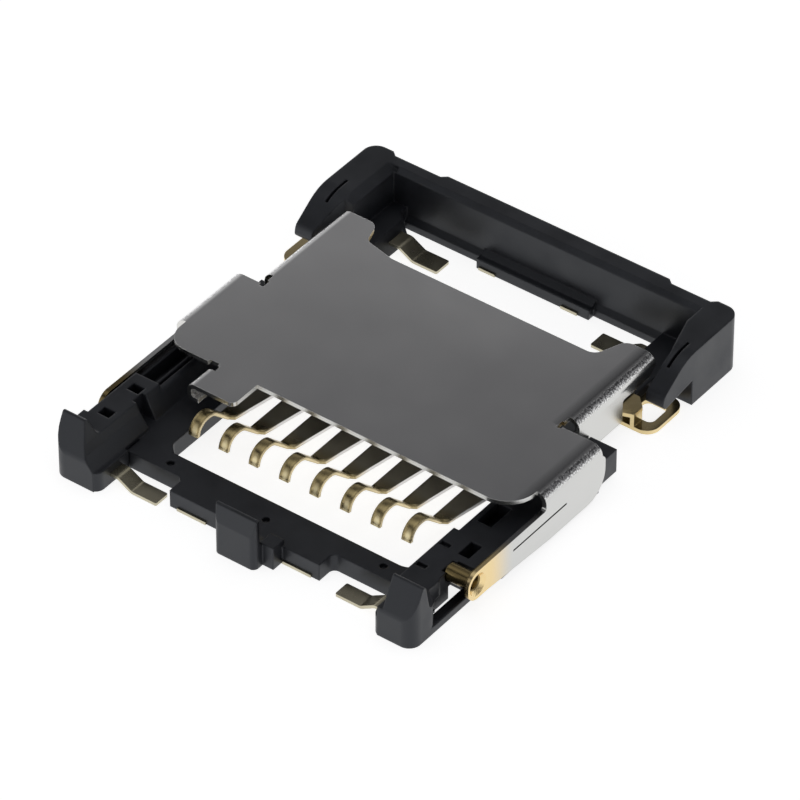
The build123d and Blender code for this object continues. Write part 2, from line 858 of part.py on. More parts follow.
    # Left near block: a low foot with a body beside the card's stepped side
    left_foot = [
        (near_left_x, near_y),
        (left_foot_x, near_y, foot_corner),
        (left_foot_x, block_end_y),
        (near_left_x, block_end_y),
    ]
    raise_plan(left_foot, 0, foot_top)
    left_edge_x = left_guide_x + left_body_inset
    groove_far_y = near_y + groove_far_depth
    for outer_x, near, far in (
        (near_left_x, near_y, block_end_y),
        (rail_left_x, block_end_y - margin, groove_far_y),
    ):
        left_body = [
            (outer_x, 0),
            (outer_x, left_body_top),
            (left_edge_x, left_body_top),
            (left_guide_x + left_shoulder_inset, left_shoulder_top),
            (left_guide_x + left_wall_inset, foot_top),
            (left_guide_x + left_wall_inset, 0),
        ]
        draw_front(left_body, near, far)
    left_body_end = [
        (rail_left_x, 0),
        (rail_left_x, left_body_top),
        (left_edge_x, left_body_top),
        (crown_x + left_crown_width, left_rail_top),
        (left_guide_x + left_rail_inset, bar_top),
        (left_guide_x + left_rail_inset, 0),
    ]
    draw_front(left_body_end, groove_far_y - margin, left_body_end_y)
    # Right near block, narrower behind its outer corner
    right_foot = [
        (right_foot_x, near_y, foot_corner),
        (near_right_x, near_y),
        (near_right_x, block_end_y),
        (right_foot_x, block_end_y),
    ]
    raise_plan(right_foot, 0, foot_top)
    right_wall_x = right_guide_x - right_wall_inset
    right_tail_x = right_guide_x + right_tail_overhang
    right_tail_y = near_y + right_tail_depth
    right_body = [
        (right_wall_x, near_y),
        (near_right_x, near_y),
        (near_right_x, block_end_y),
        (right_tail_x, block_end_y),
        (right_tail_x, right_tail_y),
        (cheek_x, right_tail_y + right_tail_slope),
        (right_guide_x, right_tail_y + right_tail_slope),
        (right_guide_x, block_end_y),
        (right_wall_x, block_end_y),
    ]
    raise_plan(right_body, 0, card_floor)
    # Noses in front of both blocks, rounded at their outer corners and sloping back
    crest_y = near_y + nose_depth
    crest_x = right_guide_x + right_crest_gap
    for left, right, base in (
        (near_left_x, left_edge_x, left_body_top),
        (crest_x, near_right_x, card_floor),
    ):
        nose_side = [
            (near_y, base - margin),
            (near_y, housing_top),
            (crest_y + nose_crest, housing_top, nose_crest),
            (crest_y + nose_fall, base, nose_fall_radius),
            (crest_y + nose_fall * 2, base),
            (crest_y + nose_fall * 2, base - margin),
        ]
        draw_side(nose_side, left, right)
    front_uprights = housing.edges().filter_by(Axis.Z).group_by(Axis.Y)[0].group_by(Axis.X)
    fillet(front_uprights[0] + front_uprights[-1], near_corner)
    nose_cut = [
        (near_y - margin, nose_front_top - nose_front_radius),
        (near_y, nose_front_top - nose_front_radius),
        (near_y, nose_front_top, nose_front_radius),
        (crest_y, housing_top),
        (crest_y, housing_top + margin),
        (near_y - margin, housing_top + margin),
    ]
    draw_side(nose_cut, near_left_x - margin, left_foot_x + margin, Mode.SUBTRACT)
    draw_side(nose_cut, right_foot_x - margin, near_right_x + margin, Mode.SUBTRACT)
    crest_cut = [
        (left_edge_x - crest_fall, housing_top + margin),
        (left_edge_x - crest_fall, housing_top),
        (left_edge_x, left_body_top),
        (left_edge_x + margin, left_body_top),
        (left_edge_x + margin, housing_top + margin),
    ]
    draw_front(crest_cut, near_y - margin, block_end_y, Mode.SUBTRACT)
    # Rounded outer rear corner of the right block, above the outer bar
    block_cut_y = near_y + block_cut_depth
    block_cut = [
        (right_tail_x, block_end_y + margin),
        (right_tail_x, block_cut_y + block_cut_slope),
        (near_right_x, block_cut_y, block_cut_round),
        (near_right_x, block_cut_y - block_cut_round),
        (near_right_x + margin, block_cut_y - block_cut_round),
        (near_right_x + margin, block_end_y + margin),
    ]
    raise_plan(block_cut, outer_bar_top, housing_top, Mode.SUBTRACT)
    # Right rail beside the window, its recess, and the outer bar under the cover's arm
    slot_far_y = near_y + slot_far_depth
    right_floor_y = near_y + right_floor_depth
    raise_box(window_right_x, cheek_x, right_floor_y, right_body_end_y, 0, card_floor)
    raise_box(cheek_x - margin, near_right_x, slot_far_y, right_body_end_y, 0, card_floor)
    raise_box(
        right_guide_x + recess_overhang,
        right_guide_x + recess_overhang + recess_width,
        near_y + recess_near_depth,
        near_y + recess_far_depth,
        recess_floor,
        housing_top,
        Mode.SUBTRACT,
    )
    slot_right_x = cheek_x + slot_width
    raise_box(slot_right_x, near_right_x, block_end_y - margin, slot_far_y, 0, outer_bar_top)
    trough_near_y = near_y + trough_near_depth
    trough = [
        (slot_right_x - margin, trough_near_y, trough_corner),
        (near_right_x - trough_rim, trough_near_y, trough_corner),
        (near_right_x - trough_rim, slot_far_y),
        (slot_right_x - margin, slot_far_y),
    ]
    raise_plan(trough, trough_bottom, outer_bar_top + margin, Mode.SUBTRACT)
    # Slot open to the board, running in under the bearing
    slot_root_x = right_guide_x + slot_root_overhang
    slot_bend_y = near_y + slot_bend_depth
    slot = [
        (cheek_x, near_y + slot_near_depth),
        (slot_right_x, near_y + slot_near_depth),
        (slot_right_x, slot_far_y),
        (slot_root_x, slot_far_y),
        (slot_root_x, slot_bend_y),
        (cheek_x, slot_bend_y),
    ]
    raise_plan(slot, 0, cheek_bottom, Mode.SUBTRACT)
    # Openings in the left body round its bearing
    hole_x = left_guide_x - body_hole_overhang
    for hole_depth in (body_hole_near_depth, body_hole_far_depth):
        hole_y = near_y + hole_depth
        raise_box(
            hole_x - body_hole_width / 2,
            hole_x + body_hole_width / 2,
            hole_y - body_hole_length / 2,
            hole_y + body_hole_length / 2,
            body_hole_bottom,
            housing_top,
            Mode.SUBTRACT,
        )
    # Groove down the left body's inner wall
    raise_box(
        left_guide_x + groove_inset,
        left_guide_x + left_wall_inset,
        near_y + groove_near_depth,
        groove_far_y,
        bar_top,
        housing_top,
        Mode.SUBTRACT,
    )
    # Pocket and two small marks in the right rail
    pocket_y = near_y + pocket_near_depth
    raise_box(
        right_guide_x - pocket_inset,
        right_guide_x + pocket_overhang,
        pocket_y,
        pocket_y + pocket_length,
        pocket_bottom,
        housing_top,
        Mode.SUBTRACT,
    )
    for dent_depth in (near_dent_depth, far_dent_depth):
        dent_y = near_y + dent_depth
        raise_box(
            right_guide_x - dent_inset,
            right_guide_x - dent_inset + dent_width,
            dent_y,
            dent_y + dent_length,
            card_floor - mark_depth,
            card_floor + margin,
            Mode.SUBTRACT,
        )
    # Post that keys the card's stepped side
    with BuildSketch(Plane.XY):
        with Locations((window_left_x - post_radius - post_inset, cover_front_y + post_radius)):
            Circle(post_radius)
    extrude(amount=post_top)
    # Ejector pin marks on the front bar
    marks = [
        (card_centre_x + middle_mark_offset, near_y + middle_mark_depth),
        (window_left_x + left_mark_inset, bar_inner_y - left_mark_gap),
        (window_right_x - right_mark_inset, bar_inner_y - right_mark_gap),
    ]
    for place in marks:
        with BuildSketch(Plane.XY.offset(bar_top - mark_depth)):
            with Locations(place):
                Circle(mark_radius)
        extrude(amount=mark_depth, mode=Mode.SUBTRACT)
    # Bearings for the cover's bosses
    bearing = pivot_boss_radius + pivot_clearance
    left_end = left_boss_x + pivot_clearance
    right_end = right_boss_x - pivot_clearance
    for start_x, end_x in ((rail_left_x - margin, left_end), (right_end, cheek_x + margin)):
        bore = [(start_x, 0), (start_x, bearing), (end_x, bearing), (end_x, 0)]
        turn_at_pivot(bore, Mode.SUBTRACT)
    # Open channels that let the contact beams flex
    for place in contact_places:
        channel_left = place - contact_left_half - contact_slot_gap
        channel_right = channel_left + contact_root_width + contact_slot_gap * 2
        raise_box(
            channel_left,
            channel_right,
            core_front_y,
            contact_seat_y,
            channel_bottom,
            housing_top,
            Mode.SUBTRACT,
        )
    # Seats of the metal parts that the moulding holds
    add([insert.part for insert in inserts], mode=Mode.SUBTRACT)
housing.part.label = "housing"

# Cover: one folded sheet
with BuildPart() as cover:
    bend_left_x = wide_left_x + bend_radius
    bend_right_x = wide_right_x - bend_radius
    left_bend_x = cover_left_x + bend_radius
    right_bend_x = cover_right_x - bend_radius
    left_lobe_x = left_bend_x + lobe_width
    tab_left_x = left_guide_x + tab_left_inset
    tab_right_x = tab_left_x + tab_width
    tab_bend_x = tab_left_x + bend_radius
    tab_end_y = cover_front_y - tab_length
    # Flat top with the front tab and the two far lobes
    top_plan = [
        (bend_left_x, cover_front_y, cover_left_corner),
        (tab_bend_x, cover_front_y),
        (tab_bend_x, tab_end_y),
        (tab_right_x, tab_end_y, tab_corner),
        (tab_right_x, cover_front_y),
        (bend_right_x, cover_front_y, cover_right_corner),
        (bend_right_x, wide_rear_y),
        (right_bend_x, wide_rear_y),
        (right_bend_x, lobe_end_y),
        (right_bend_x - right_lobe_top, lobe_end_y, right_lobe_round),
        (right_bend_x - right_lobe_base, cover_rear_y, right_lobe_round),
        (left_lobe_x + lobe_left_slope, cover_rear_y),
        (left_lobe_x, cover_rear_y + lobe_step, lobe_neck),
        (left_lobe_x - lobe_step, lobe_end_y, lobe_corner),
        (left_bend_x, lobe_end_y),
        (left_bend_x, wide_rear_y),
        (bend_left_x, wide_rear_y),
    ]
    raise_plan(top_plan, sheet_bottom, cover_top)
    # Folded edges of the wide part and of the far part
    folds = [
        (-1, wide_left_x, wide_bend_y, wide_rear_y),
        (1, wide_right_x, wide_bend_y, wide_rear_y),
        (-1, cover_left_x, rear_wall_y, lobe_end_y),
        (1, cover_right_x, rear_wall_y, lobe_end_y),
    ]
    for side, outer_x, near, far in folds:
        inner_x = outer_x - side * sheet
        flat_x = outer_x - side * (bend_radius + fold_lap)
        section = [
            (flat_x, cover_top),
            (outer_x, cover_top, bend_radius),
            (outer_x, bend_z - fold_lap),
            (inner_x, bend_z - fold_lap),
            (inner_x, sheet_bottom, bend_inner),
            (flat_x, sheet_bottom),
        ]
        draw_front(section, near, far)
    # Flange on the tab's left side, curled in along its bottom
    flange_x = tab_left_x + sheet / 2
    flange_z = cover_top - tab_flange_drop + sheet / 2
    flange = [
        (tab_bend_x + fold_lap, cover_top - sheet / 2),
        (flange_x, cover_top - sheet / 2),
        (flange_x, flange_z),
        (flange_x + tab_flange_curl, flange_z),
    ]
    with BuildSketch(Plane.XZ.offset(-cover_front_y + relief_length)) as curl:
        with BuildLine():
            FilletPolyline(*flange, radius=[tab_flange_bend, tab_flange_bend])
        trace(line_width=sheet)
    extrude(curl.sketch, amount=tab_length - relief_length)
    # Wide side walls, each running forward as an arm to its pivot
    arm_near_y = pivot_y - arm_end_reach
    arm_top = pivot_z + arm_half_height
    arm_bottom = pivot_z - arm_half_height
    wide_wall = [
        (wide_bend_y, bend_z),
        (wide_bend_y, arm_top, arm_shoulder_radius),
        (arm_near_y, arm_top, arm_end_round),
        (arm_near_y, arm_bottom, arm_end_round),
        (pivot_y + arm_half_height, arm_bottom, arm_low_radius),
        (near_y + arm_low_depth, wide_wall_bottom, arm_low_radius),
        (wide_wall_y, wide_wall_bottom, wide_wall_corner),
        (wide_wall_y, bend_z - wide_wall_overrun, wide_wall_lip),
        (wide_rear_y, bend_z),
    ]
    draw_side(wide_wall, wide_left_x, wide_left_x + sheet)
    draw_side(wide_wall, wide_right_x - sheet, wide_right_x)
    # Far side walls, cut back over the ground lugs
    rear_lug_y = far_y - rear_lug_reach
    far_wall = [
        (rear_wall_y, bend_z),
        (rear_wall_y, rear_wall_bottom, rear_wall_corner),
        (rear_lug_y, rear_wall_bottom, rear_wall_corner),
        (rear_lug_y, rear_lug_bottom, rear_wall_corner),
        (lobe_end_y - rear_end_slope, rear_lug_bottom, rear_end_radius),
        (lobe_end_y, bend_z),
    ]
    draw_side(far_wall, cover_left_x, cover_left_x + sheet)
    draw_side(far_wall, cover_right_x - sheet, cover_right_x)
    # Relief cut between the tab and the wide part, and notches behind the wide part
    raise_box(
        tab_left_x - relief_side,
        tab_left_x + relief_depth,
        cover_front_y - relief_length,
        cover_front_y + relief_side,
        0,
        housing_top,
        Mode.SUBTRACT,
    )
    for side, outer_x in ((-1, left_bend_x), (1, right_bend_x)):
        left, right = sorted((outer_x - side * notch_length, outer_x + side * margin))
        raise_box(
            left, right, wide_rear_y - margin, wide_rear_y + notch_width, 0, housing_top, Mode.SUBTRACT
        )
    # Bosses drawn inward from the arms, each with a conical hollow open to the outside
    for side, wall_x, length in (
        (1, wide_left_x, left_boss_length),
        (-1, wide_right_x, right_boss_length),
    ):
        reach = sheet + length
        boss = [
            (sheet / 2, 0),
            (sheet / 2, pivot_root_radius),
            (sheet, pivot_root_radius),
            (sheet + pivot_root_length, pivot_boss_radius),
            (reach - pivot_boss_chamfer, pivot_boss_radius),
            (reach, pivot_boss_radius - pivot_boss_chamfer),
            (reach, 0),
        ]
        turn_at_pivot([(wall_x + side * along, radius) for along, radius in boss])
        hollow = [
            (0, 0),
            (0, pivot_mouth_radius),
            (sheet, pivot_neck_radius),
            (pivot_mouth_depth, pivot_boss_radius - pivot_boss_wall),
            (reach - pivot_boss_wall, pivot_boss_radius - pivot_boss_wall),
            (reach - pivot_boss_wall, 0),
        ]
        places = [(wall_x + side * along, radius) for along, radius in hollow]
        turn_at_pivot(places, Mode.SUBTRACT)
    # Narrow slits in the wide walls
    slit = [
        (near_y + slit_near_depth, slit_z - slit_height / 2),
        (near_y + slit_near_depth + slit_length, slit_z - slit_height / 2),
        (near_y + slit_near_depth + slit_length, slit_z + slit_height / 2),
        (near_y + slit_near_depth, slit_z + slit_height / 2),
    ]
    draw_side(slit, wide_left_x, wide_left_x + sheet, Mode.SUBTRACT)
    draw_side(slit, wide_right_x - sheet, wide_right_x, Mode.SUBTRACT)
cover.part.label = "cover"

pieces = [housing, cover] + inserts
for piece in pieces:
    export_step(piece.part, f"parts/{piece.part.label}.step")
    print(piece.part.label, len(piece.part.solids()), round(piece.part.volume, 4))
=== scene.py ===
import math

import bpy
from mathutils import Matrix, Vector

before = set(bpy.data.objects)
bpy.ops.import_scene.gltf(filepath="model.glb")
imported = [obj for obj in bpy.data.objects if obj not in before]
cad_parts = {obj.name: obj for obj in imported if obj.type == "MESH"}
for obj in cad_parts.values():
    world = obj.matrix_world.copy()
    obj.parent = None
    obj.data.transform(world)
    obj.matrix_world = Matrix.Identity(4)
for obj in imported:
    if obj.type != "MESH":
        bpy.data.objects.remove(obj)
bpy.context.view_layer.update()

mm = 0.001
noiseLow, noiseHigh = 0.3, 0.7  # nearly all of a noise lies between these


# Small helpers for the node trees: a value may be a number, a colour or another node's output
def fill(tree, socket, value):
    if isinstance(value, bpy.types.NodeSocket):
        tree.links.new(value, socket)
    elif socket.type == "RGBA":
        socket.default_value = (*value, 1.0)
    else:
        socket.default_value = value


def addNode(tree, kind, inputs=None, **settings):
    node = tree.nodes.new(kind)
    for name, value in settings.items():
        setattr(node, name, value)
    for name, value in (inputs or {}).items():
        fill(tree, node.inputs[name], value)
    return node


def emptyTree(owner):
    owner.use_nodes = True
    owner.node_tree.nodes.clear()
    return owner.node_tree


def coordinates(tree):
    return addNode(tree, "ShaderNodeTexCoord").outputs


def split(tree, vector):
    return addNode(tree, "ShaderNodeSeparateXYZ", {"Vector": vector}).outputs


def cloud(tree, vector, scale, detail=4.0, roughness=0.55):
    inputs = {"Vector": vector, "Scale": scale, "Detail": detail, "Roughness": roughness}
    return addNode(tree, "ShaderNodeTexNoise", inputs).outputs["Fac"]


def ramp(tree, factor, stops):
    node = addNode(tree, "ShaderNodeValToRGB", {"Fac": factor})
    band = node.color_ramp
    while len(band.elements) < len(stops):
        band.elements.new(0.5)  # moved to its own place below
    for element, (position, colour) in zip(band.elements, stops):
        element.position = position
        element.color = (*colour, 1.0)
    return node.outputs["Color"]


# Carries a value from one range to another, held at both ends
def spread(tree, value, low, high, outLow=0.0, outHigh=1.0, curve="LINEAR"):
    inputs = {"Value": value, "From Min": low, "From Max": high, "To Min": outLow, "To Max": outHigh}
    return addNode(tree, "ShaderNodeMapRange", inputs, interpolation_type=curve).outputs["Result"]


def combine(tree, operation, first, second=0.0):
    return addNode(tree, "ShaderNodeMath", {0: first, 1: second}, operation=operation).outputs["Value"]


def times(tree, first, second):
    return combine(tree, "MULTIPLY", first, second)


def plus(tree, first, second):
    return combine(tree, "ADD", first, second)


def minus(tree, first, second):
    return combine(tree, "SUBTRACT", first, second)


def blendColours(tree, factor, first, second):
    node = addNode(tree, "ShaderNodeMix", data_type="RGBA")
    fill(tree, node.inputs["Factor"], factor)
    fill(tree, node.inputs[6], first)  # the colour sockets A and B, which share their names
    fill(tree, node.inputs[7], second)
    return node.outputs[2]


# Grain in a surface, with its sharp edges shaded as if rounded
def relief(tree, height, strength, depth, edge, samples=6):
    bevel = addNode(tree, "ShaderNodeBevel", {"Radius": edge}, samples=samples)
    inputs = {"Strength": strength, "Distance": depth, "Height": height, "Normal": bevel.outputs["Normal"]}
    return addNode(tree, "ShaderNodeBump", inputs).outputs["Normal"]


# Moulded housing: black plastic, faintly mottled
housingLook = {
    "shade": (0.0125, 0.0133, 0.0165),
    "pale": (0.022, 0.0235, 0.029),
    "shadeAt": 0.3,
    "paleAt": 0.75,
    "mottle": 900,
    "roughLow": 0.32,
    "roughHigh": 0.48,
    "grain": 26000,
    "grainDetail": 3.0,
    "grainMix": 0.6,
    "grainStrength": 0.25,
    "grainDepth": 0.004 * mm,
    "edge": 0.08 * mm,
    "sheen": (0.9, 0.94, 1.0),
    "ior": 1.5,
}


def finishHousing(tree, look):
    vector = coordinates(tree)["Object"]
    broad = cloud(tree, vector, look["mottle"])
    fine = cloud(tree, vector, look["grain"], look["grainDetail"], look["grainMix"])
    return {
        "Base Color": ramp(tree, broad, [(look["shadeAt"], look["shade"]), (look["paleAt"], look["pale"])]),
        "Roughness": spread(tree, broad, noiseLow, noiseHigh, look["roughLow"], look["roughHigh"]),
        "Normal": relief(tree, fine, look["grainStrength"], look["grainDepth"], look["edge"]),
        "IOR": look["ior"],
        "Specular Tint": look["sheen"],
    }


# Folded cover: satin sheet, grained along its bends, gold on the ends of its arms
coverLook = {
    # sheet, painted darker towards its near right corner and lighter towards its far left one as a painted
    # reflection, its sides painted in their own lit colours
    "paintedTopNear": (0.47, 0.47, 0.475),
    "paintedTopFar": (0.87, 0.865, 0.86),
    "paintedSideNear": (0.62, 0.622, 0.61),
    "paintedSideFar": (0.74, 0.735, 0.71),
    "toneNear": -8.5 * mm,
    "toneFar": 9.5 * mm,
    "toneWander": 3 * mm,
    "flatFrom": 0.55,
    "flatTo": 0.95,
    "cloud": 260,
    "cloudDetail": 3.0,
    # painted shade: a dark line painted next to the right hand folds, further out on the wide part
    "paintedFoldShade": (0.2, 0.2, 0.205),
    "paintedFoldDepth": 0.85,
    "foldWidth": 0.32 * mm,
    "farFold": 5.535 * mm,
    "wideStep": 1.18 * mm,
    "wideRear": 0.6 * mm,
    # grain relief on the bends, whose first degrees stay smooth, and dark and bright specks painted into their
    # colour as painted shade and painted glints
    "bendSideways": (0.24, 0.42),
    "bendUpward": (0.4, 0.62),
    "paintedSpeckShade": (0.19, 0.19, 0.195),
    "paintedSpeckGlint": (0.95, 0.95, 0.95),
    "speckRange": (0.41, 0.61),
    "speck": 17500,
    "speckMix": 0.7,
    "paintedSpeckAmount": 0.85,
    # gold on the arms' ends and in patches on the cut edges, each a place in mm and a reach
    "gold": (0.86, 0.67, 0.35),
    # darker gold, painted shade on the bosses and inner faces
    "shadedGold": (0.25, 0.19, 0.085),
    "plateStart": -4.65 * mm,
    "plateEnd": -3.4 * mm,
    "plateWander": 0.5 * mm,
    "armSide": 5.75 * mm,
    "bossY": -4.85 * mm,
    "outerFace": 6.95 * mm,
    "patches": [((-4.15, 4.35, 1.85), 0.34), ((5.6, 0.75, 1.72), 0.3), ((-5.42, 0.85, 1.72), 0.3)],
    "patchCore": 0.7,
    "cutUpward": 0.5,
    # gloss and relief
    "rough": 0.24,
    "roughWander": 0.03,
    "grainRough": 0.12,
    "grainHeight": 3.5,
    "satin": 9000,
    "satinMix": 0.5,
    "satinHeight": 0.03,
    "fineDetail": 2.0,
    "reliefStrength": 0.5,
    "reliefDepth": 0.006 * mm,
    "edge": 0.02 * mm,
    "edgeSamples": 4,
}


def finishCover(tree, look):
    coords = coordinates(tree)
    vector = coords["Object"]
    where, facing = split(tree, vector), split(tree, coords["Normal"])
    broad = cloud(tree, vector, look["cloud"], look["cloudDetail"])
    satin = cloud(tree, vector, look["satin"], look["fineDetail"], look["satinMix"])
    speck = cloud(tree, vector, look["speck"], look["fineDetail"], look["speckMix"])
    upward = combine(tree, "ABSOLUTE", facing["Z"])
    sideways = combine(tree, "ABSOLUTE", facing["X"])
    turned = spread(tree, sideways, *look["bendSideways"])
    bend = times(tree, turned, spread(tree, upward, *look["bendUpward"]))

    # Painted reflection: the sheet's colour darkens softly across its top towards its near right corner, and
    # painted shade darkens it next to its right hand folds
    across = plus(tree, minus(tree, where["Y"], where["X"]), times(tree, broad, look["toneWander"]))
    paintedTone = spread(tree, across, look["toneNear"], look["toneFar"])
    flat = ramp(tree, paintedTone, [(0.0, look["paintedTopNear"]), (1.0, look["paintedTopFar"])])
    # the sides get their own painted colours, lit differently from the top
    side = ramp(tree, paintedTone, [(0.0, look["paintedSideNear"]), (1.0, look["paintedSideFar"])])
    wide = combine(tree, "LESS_THAN", where["Y"], look["wideRear"])
    fold = plus(tree, times(tree, wide, look["wideStep"]), look["farFold"])
    beside = spread(tree, minus(tree, where["X"], fold), -look["foldWidth"], 0.0)
    # painted shade laid into the top's colour next to the right hand folds
    flat = blendColours(tree, times(tree, beside, look["paintedFoldDepth"]), flat, look["paintedFoldShade"])
    steel = blendColours(tree, spread(tree, upward, look["flatFrom"], look["flatTo"]), side, flat)

    # Its bends have real grain relief, and their colour is speckled with painted glints and painted shade
    low, high = look["speckRange"]
    paintedGlints = ramp(tree, speck, [(low, look["paintedSpeckShade"]), (high, look["paintedSpeckGlint"])])
    steel = blendColours(tree, times(tree, bend, look["paintedSpeckAmount"]), steel, paintedGlints)

    # Gold on the arms' ends fades along the arm; on the bosses and inside it is painted darker as painted shade
    fade = plus(tree, where["Y"], times(tree, broad, look["plateWander"]))
    plating = spread(tree, fade, look["plateStart"], look["plateEnd"], 1.0, 0.0, "SMOOTHSTEP")
    outside = combine(tree, "ABSOLUTE", where["X"])
    onArm = combine(tree, "GREATER_THAN", outside, look["armSide"])
    onBoss = combine(tree, "LESS_THAN", where["Y"], look["bossY"])
    plating = times(tree, plating, combine(tree, "MAXIMUM", onArm, onBoss))
    outerFace = combine(tree, "GREATER_THAN", outside, look["outerFace"])
    gold = blendColours(tree, outerFace, look["shadedGold"], look["gold"])
    colour = blendColours(tree, plating, steel, gold)

    # and shows on the cut edges at the notches and at the left lobe
    cutEdge = combine(tree, "LESS_THAN", upward, look["cutUpward"])
    for spot, reach in look["patches"]:
        middle = tuple(value * mm for value in spot)
        away = addNode(tree, "ShaderNodeVectorMath", {0: vector, 1: middle}, operation="DISTANCE")
        near = spread(tree, away.outputs["Value"], reach * look["patchCore"] * mm, reach * mm, 1.0, 0.0)
        colour = blendColours(tree, times(tree, near, cutEdge), colour, look["gold"])

    wander = look["roughWander"]
    rough = spread(tree, broad, noiseLow, noiseHigh, look["rough"] - wander, look["rough"] + wander)
    rough = minus(tree, rough, times(tree, bend, look["rough"] - look["grainRough"]))
    height = times(tree, times(tree, speck, bend), look["grainHeight"])
    height = plus(tree, height, times(tree, satin, look["satinHeight"]))
    normal = relief(
        tree, height, look["reliefStrength"], look["reliefDepth"], look["edge"], look["edgeSamples"]
    )
    return {"Base Color": colour, "Metallic": 1.0, "Roughness": rough, "Normal": normal}


# Gold plating: thin on the tabs and their pads, thicker on the lugs
tabLook = {
    "bright": (0.60, 0.56, 0.43),
    "dull": (0.48, 0.44, 0.32),
    "rough": 0.26,
    "round": 0.02 * mm,
}
lugLook = {
    "bright": (0.82, 0.67, 0.38),
    "dull": (0.64, 0.51, 0.27),
    "rough": 0.2,
    "round": 0.02 * mm,
}
platingGrain = {
    "mottle": 700,
    "mottleDetail": 3.0,
    "dullAt": 0.35,
    "brightAt": 0.65,
    "smoother": 0.04,
    "rougher": 0.08,
    "grain": 22000,
    "grainDetail": 2.0,
    "grainStrength": 0.04,
    "grainDepth": 0.002 * mm,
}


def finishPlating(tree, look, edge=None):
    grain = platingGrain
    vector = coordinates(tree)["Object"]
    broad = cloud(tree, vector, grain["mottle"], grain["mottleDetail"])
    fine = cloud(tree, vector, grain["grain"], grain["grainDetail"])
    least, most = look["rough"] - grain["smoother"], look["rough"] + grain["rougher"]
    edge = look["round"] if edge is None else edge
    return {
        "Base Color": ramp(tree, broad, [(grain["dullAt"], look["dull"]), (grain["brightAt"], look["bright"])]),
        "Metallic": 1.0,
        "Roughness": spread(tree, broad, noiseLow, noiseHigh, least, most),
        "Normal": relief(tree, fine, grain["grainStrength"], grain["grainDepth"], edge),
    }


# Plated springs: tips coined round across their width, duller flat blades whose cut sides are painted pale as a
# painted highlight
springLook = {
    "bright": (0.76, 0.64, 0.39),
    "dull": (0.62, 0.51, 0.29),
    "rough": 0.2,
    "round": 0.16 * mm,
    "tipY": -3.6 * mm,
    "bladeY": -3.0 * mm,
    "bladeEdge": 0.015 * mm,
    "cutSideways": (0.7, 0.9),
    # pale colour on the blades' cut sides, a painted highlight
    "cutEdge": (0.74, 0.73, 0.72),
    "blade": (0.66, 0.62, 0.5),
    "bladeRough": 0.18,
    # painted highlight: a bright streak painted down each tip's front, on tip fronts painted darker as painted
    # shade
    "paintedTipShade": (0.5, 0.4, 0.2),
    "paintedHighlight": (1.0, 0.87, 0.54),
    "highlightRough": 0.22,
    "highlightForward": (0.5, 0.9),
    "firstEdge": -3.565 * mm,
    "pitch": 1.1 * mm,
    "streakMiddle": 0.19 * mm,
    "streakCore": 0.03 * mm,
    "streakHalf": 0.1 * mm,
    "streakBottom": 1.08 * mm,
    "streakTop": 1.3 * mm,
}


def finishSprings(tree, look):
    coords = coordinates(tree)
    where, facing = split(tree, coords["Object"]), split(tree, coords["Normal"])
    ends = look["tipY"], look["bladeY"]
    onBlade = spread(tree, where["Y"], *ends)
    edge = spread(tree, where["Y"], *ends, look["round"], look["bladeEdge"])
    cutSide = spread(tree, combine(tree, "ABSOLUTE", facing["X"]), *look["cutSideways"])

    # How far a point is from the middle of its own spring's streak, across the spring
    along = combine(tree, "DIVIDE", minus(tree, where["X"], look["firstEdge"]), look["pitch"])
    inside = times(tree, combine(tree, "FRACT", along), look["pitch"])
    away = combine(tree, "ABSOLUTE", minus(tree, inside, look["streakMiddle"]))
    streak = spread(tree, away, look["streakCore"], look["streakHalf"], 1.0, 0.0)
    low = spread(tree, where["Z"], look["streakBottom"], look["streakTop"], 1.0, 0.0)
    front = spread(tree, combine(tree, "ABSOLUTE", facing["Y"]), *look["highlightForward"])
    paintedHighlight = times(tree, times(tree, streak, low), front)

    surface = finishPlating(tree, look, edge)
    # tip fronts painted darker as painted shade, then the painted highlight streak
    tip = blendColours(tree, cutSide, look["paintedTipShade"], surface["Base Color"])
    tip = blendColours(tree, paintedHighlight, tip, look["paintedHighlight"])
    # the blades' cut sides painted pale as a painted highlight
    blade = blendColours(tree, cutSide, look["blade"], look["cutEdge"])
    surface["Base Color"] = blendColours(tree, onBlade, tip, blade)
    rough = plus(tree, surface["Roughness"], times(tree, onBlade, look["bladeRough"]))
    surface["Roughness"] = plus(tree, rough, times(tree, paintedHighlight, look["highlightRough"]))
    return surface


# One material for each kind of piece, found by a word in the node's name
def makeMaterial(name, finish, look):
    material = bpy.data.materials.new(name)
    tree = emptyTree(material)
    shader = addNode(tree, "ShaderNodeBsdfPrincipled", finish(tree, look))
    addNode(tree, "ShaderNodeOutputMaterial", {"Surface": shader.outputs["BSDF"]})
    return material


finishes = {
    "housing": makeMaterial("mouldedPlastic", finishHousing, housingLook),
    "cover": makeMaterial("foldedSteel", finishCover, coverLook),
    "contact": makeMaterial("springPlating", finishSprings, springLook),
    "tab": makeMaterial("tabPlating", finishPlating, tabLook),
    "lug": makeMaterial("lugPlating", finishPlating, lugLook),
}
finishes["pad"] = finishes["tab"]
print("materials ready:", len(set(finishes.values())))

sharpAngle = 28  # degrees; smaller angles between faces are shaded smooth
for name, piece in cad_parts.items():
    mesh = piece.data
    mesh.materials.clear()
    words = [word for word in name.split("_") if word in finishes]
    mesh.materials.append(finishes[words[0]])
    for face in mesh.polygons:
        face.use_smooth = True
    mesh.set_sharp_from_angle(angle=math.radians(sharpAngle))
print("finishes on", len(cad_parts), "pieces")


